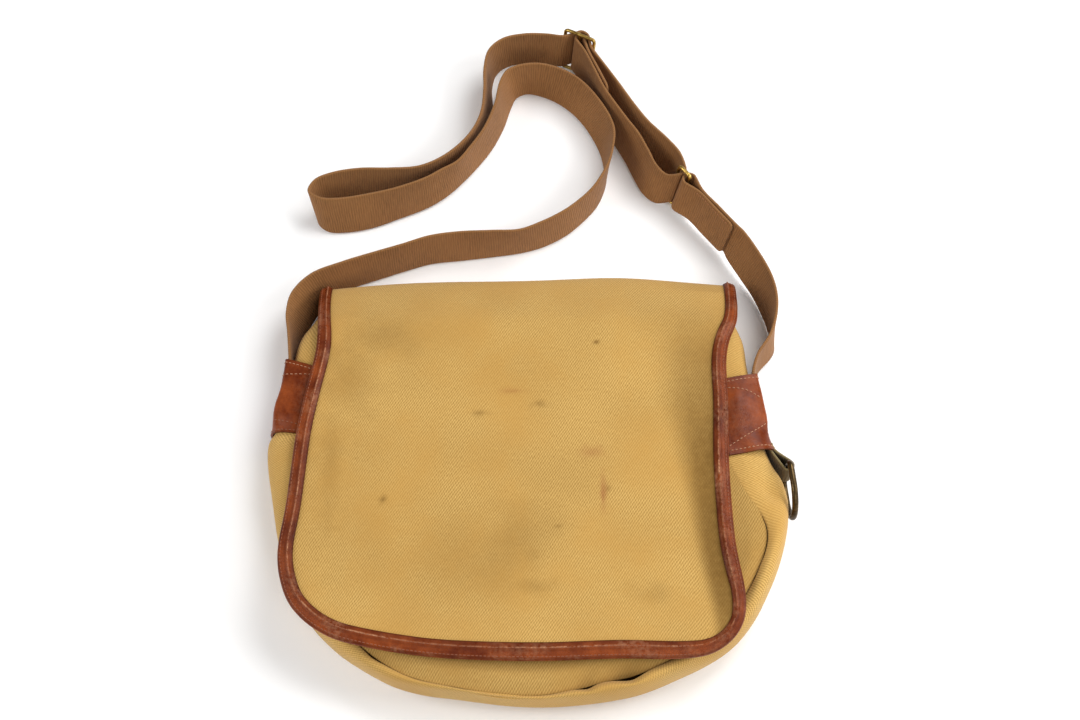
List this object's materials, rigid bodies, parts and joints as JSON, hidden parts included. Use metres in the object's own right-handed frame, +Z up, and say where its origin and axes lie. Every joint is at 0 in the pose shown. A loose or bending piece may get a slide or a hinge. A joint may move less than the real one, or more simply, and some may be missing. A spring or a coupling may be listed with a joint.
{
  "type": "shoulder bag",
  "caption": "Canvas shoulder bag lying on its back, with a leather-bound flap over a gusseted pocket, leather strap tabs, an adjustable webbing strap and a swinging net ring.",
  "frame": {"origin": "middle of the back panel's flat underside, on the surface the bag lies on", "axes": "+Z up, out of the bag's front; +Y to the bag's top and its strap; +X to the wearer's left, where the net ring is"},
  "size_m": [0.4188, 0.6038, 0.0586],
  "materials": {
    "canvas": "khaki cotton twill, matt, with stains",
    "leather": "tan-brown bridle leather, cracked and scuffed",
    "webbing": "brown ribbed cotton webbing, matt",
    "brass": "tarnished cast brass",
    "bronze": "dark bronzed wire"
  },
  "bodies": {
    "bag": {"back_panel": "canvas", "gusset": "canvas", "front_panel": "canvas", "flap": "canvas", "flap_binding": "leather", "strap_tab_left": "leather", "strap_tab_right": "leather", "strap_long": "webbing", "strap_short": "webbing", "strap_slider": "brass", "strap_loop": "brass", "ring_keeper": "webbing"},
    "ring": {"net_ring": "bronze"}
  },
  "joints": [
    {"name": "ring_swing", "type": "hinge", "parent": "bag", "child": "ring", "pos_m": [0.204, 0.015, 0.026], "axis": [0, 0, 1], "range_deg": [0, 150]}
  ]
}
